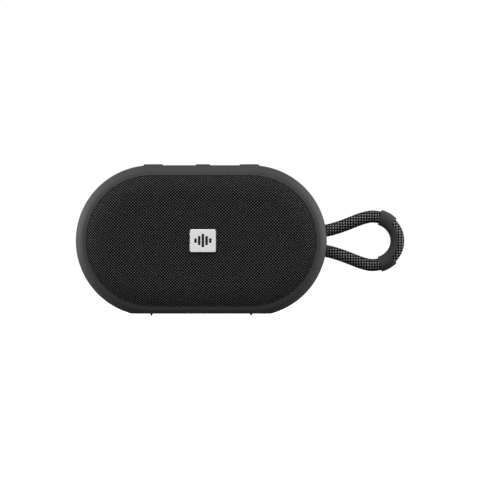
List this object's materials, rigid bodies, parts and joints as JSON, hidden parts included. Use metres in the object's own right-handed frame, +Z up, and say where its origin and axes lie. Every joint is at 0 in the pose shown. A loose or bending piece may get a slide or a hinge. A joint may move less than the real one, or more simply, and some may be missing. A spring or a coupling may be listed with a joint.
{
  "type": "shower speaker",
  "caption": "Compact water-resistant speaker with a stadium-shaped body, woven front, top buttons and a rope loop at one end.",
  "frame": {"origin": "on the floor, midway between the two feet and midway through the body's depth", "axes": "+X to the listener's right, towards the strap; +Y to the rear; +Z up"},
  "size_m": [0.1573, 0.0434, 0.0723],
  "materials": {
    "shell": "fine moulded grain, soft sheen",
    "shell_rear": "fine moulded grain",
    "gasket": "smooth silicone",
    "screw": "zinc plated",
    "inner_plastic": "moulded",
    "grille_metal": "black powder coat",
    "fabric": "open woven mesh",
    "badge": "satin, bevelled edge",
    "foot_rubber": "matte",
    "button_rubber": "matte",
    "circuit_board": "solder mask",
    "component": "moulded epoxy",
    "stem": "moulded",
    "wire": "insulation",
    "basket": "black paint",
    "pole_steel": "zinc plated",
    "magnet": "ground ferrite",
    "coil": "enamelled winding",
    "spider_cloth": "corrugated cloth",
    "cone_paper": "pressed pulp",
    "surround_rubber": "smooth",
    "radiator_metal": "satin black",
    "tin": "tinned",
    "light_pipe": "diffusing",
    "cell_wrap": "shrink wrap",
    "rope": "braided polyester with light flecks",
    "grip_rubber": "matte moulded"
  },
  "bodies": {
    "housing": {"housing_shell": "shell", "rear_cover": "shell_rear", "rear_cover_gasket": "gasket", "rear_cover_screws": "screw", "front_baffle": "inner_plastic", "baffle_gasket": "gasket", "baffle_screws": "screw", "grille_panel": "grille_metal", "grille_fabric": "fabric", "badge_plate": "badge", "badge_clips": "screw", "foot_left": "foot_rubber", "foot_right": "foot_rubber", "button_seal": "gasket", "button_board": "circuit_board", "button_switches": "component", "button_board_screws": "screw", "button_cable": "wire", "driver_basket": "basket", "driver_gasket": "gasket", "driver_screws": "screw", "driver_top_plate": "pole_steel", "driver_magnet": "magnet", "driver_yoke": "pole_steel", "driver_spider": "spider_cloth", "driver_surround": "surround_rubber", "driver_leads": "wire", "radiator_frame": "inner_plastic", "radiator_surround": "surround_rubber", "main_board": "circuit_board", "board_screws": "screw", "board_components": "component", "radio_shield": "tin", "usb_socket": "tin", "port_gasket": "gasket", "charge_light_pipe": "light_pipe", "charge_led": "light_pipe", "battery_cell": "cell_wrap", "battery_cradle": "inner_plastic", "battery_leads": "wire", "strap_anchor_block": "inner_plastic", "strap_anchor_screws": "screw", "strap_ferrules": "tin", "strap_seals": "gasket", "strap_root_upper": "rope", "strap_root_lower": "rope"},
    "left_button": {"button_left": "button_rubber", "switch_stem_left": "stem"},
    "middle_button": {"button_middle": "button_rubber", "switch_stem_middle": "stem"},
    "right_button": {"button_right": "button_rubber", "switch_stem_right": "stem"},
    "port_flap": {"port_cover": "button_rubber"},
    "cone_assembly": {"driver_cone": "cone_paper", "driver_dust_cap": "cone_paper", "driver_voice_coil": "coil"},
    "radiator": {"radiator_plate": "radiator_metal"},
    "strap_loop": {"strap_cord": "rope", "strap_grip": "grip_rubber"}
  },
  "joints": [
    {"name": "left_button_press", "type": "slide", "parent": "housing", "child": "left_button", "axis": [0, 0, -1], "range_m": [0, 0.0004], "stiffness_N_per_m": 900},
    {"name": "middle_button_press", "type": "slide", "parent": "housing", "child": "middle_button", "axis": [0, 0, -1], "range_m": [0, 0.0004], "stiffness_N_per_m": 900},
    {"name": "right_button_press", "type": "slide", "parent": "housing", "child": "right_button", "axis": [0, 0, -1], "range_m": [0, 0.0004], "stiffness_N_per_m": 900},
    {"name": "port_flap_open", "type": "hinge", "parent": "housing", "child": "port_flap", "pos_m": [0.0298, 0.021, 0.03575], "axis": [0, 0, 1], "range_deg": [0, 90]},
    {"name": "cone_stroke", "type": "slide", "parent": "housing", "child": "cone_assembly", "axis": [0, 1, 0], "range_m": [-0.0015, 0.0015], "stiffness_N_per_m": 900, "deforming": ["driver_surround", "driver_spider"]},
    {"name": "radiator_stroke", "type": "slide", "parent": "housing", "child": "radiator", "axis": [0, 1, 0], "range_m": [-0.002, 0.002], "stiffness_N_per_m": 700, "deforming": ["radiator_surround"]},
    {"name": "strap_swing", "type": "hinge", "parent": "housing", "child": "strap_loop", "pos_m": [0.0626, 0, 0.03575], "axis": [0, 0, 1], "range_deg": [-45, 45], "stiffness_Nm_per_rad": 0.02}
  ]
}
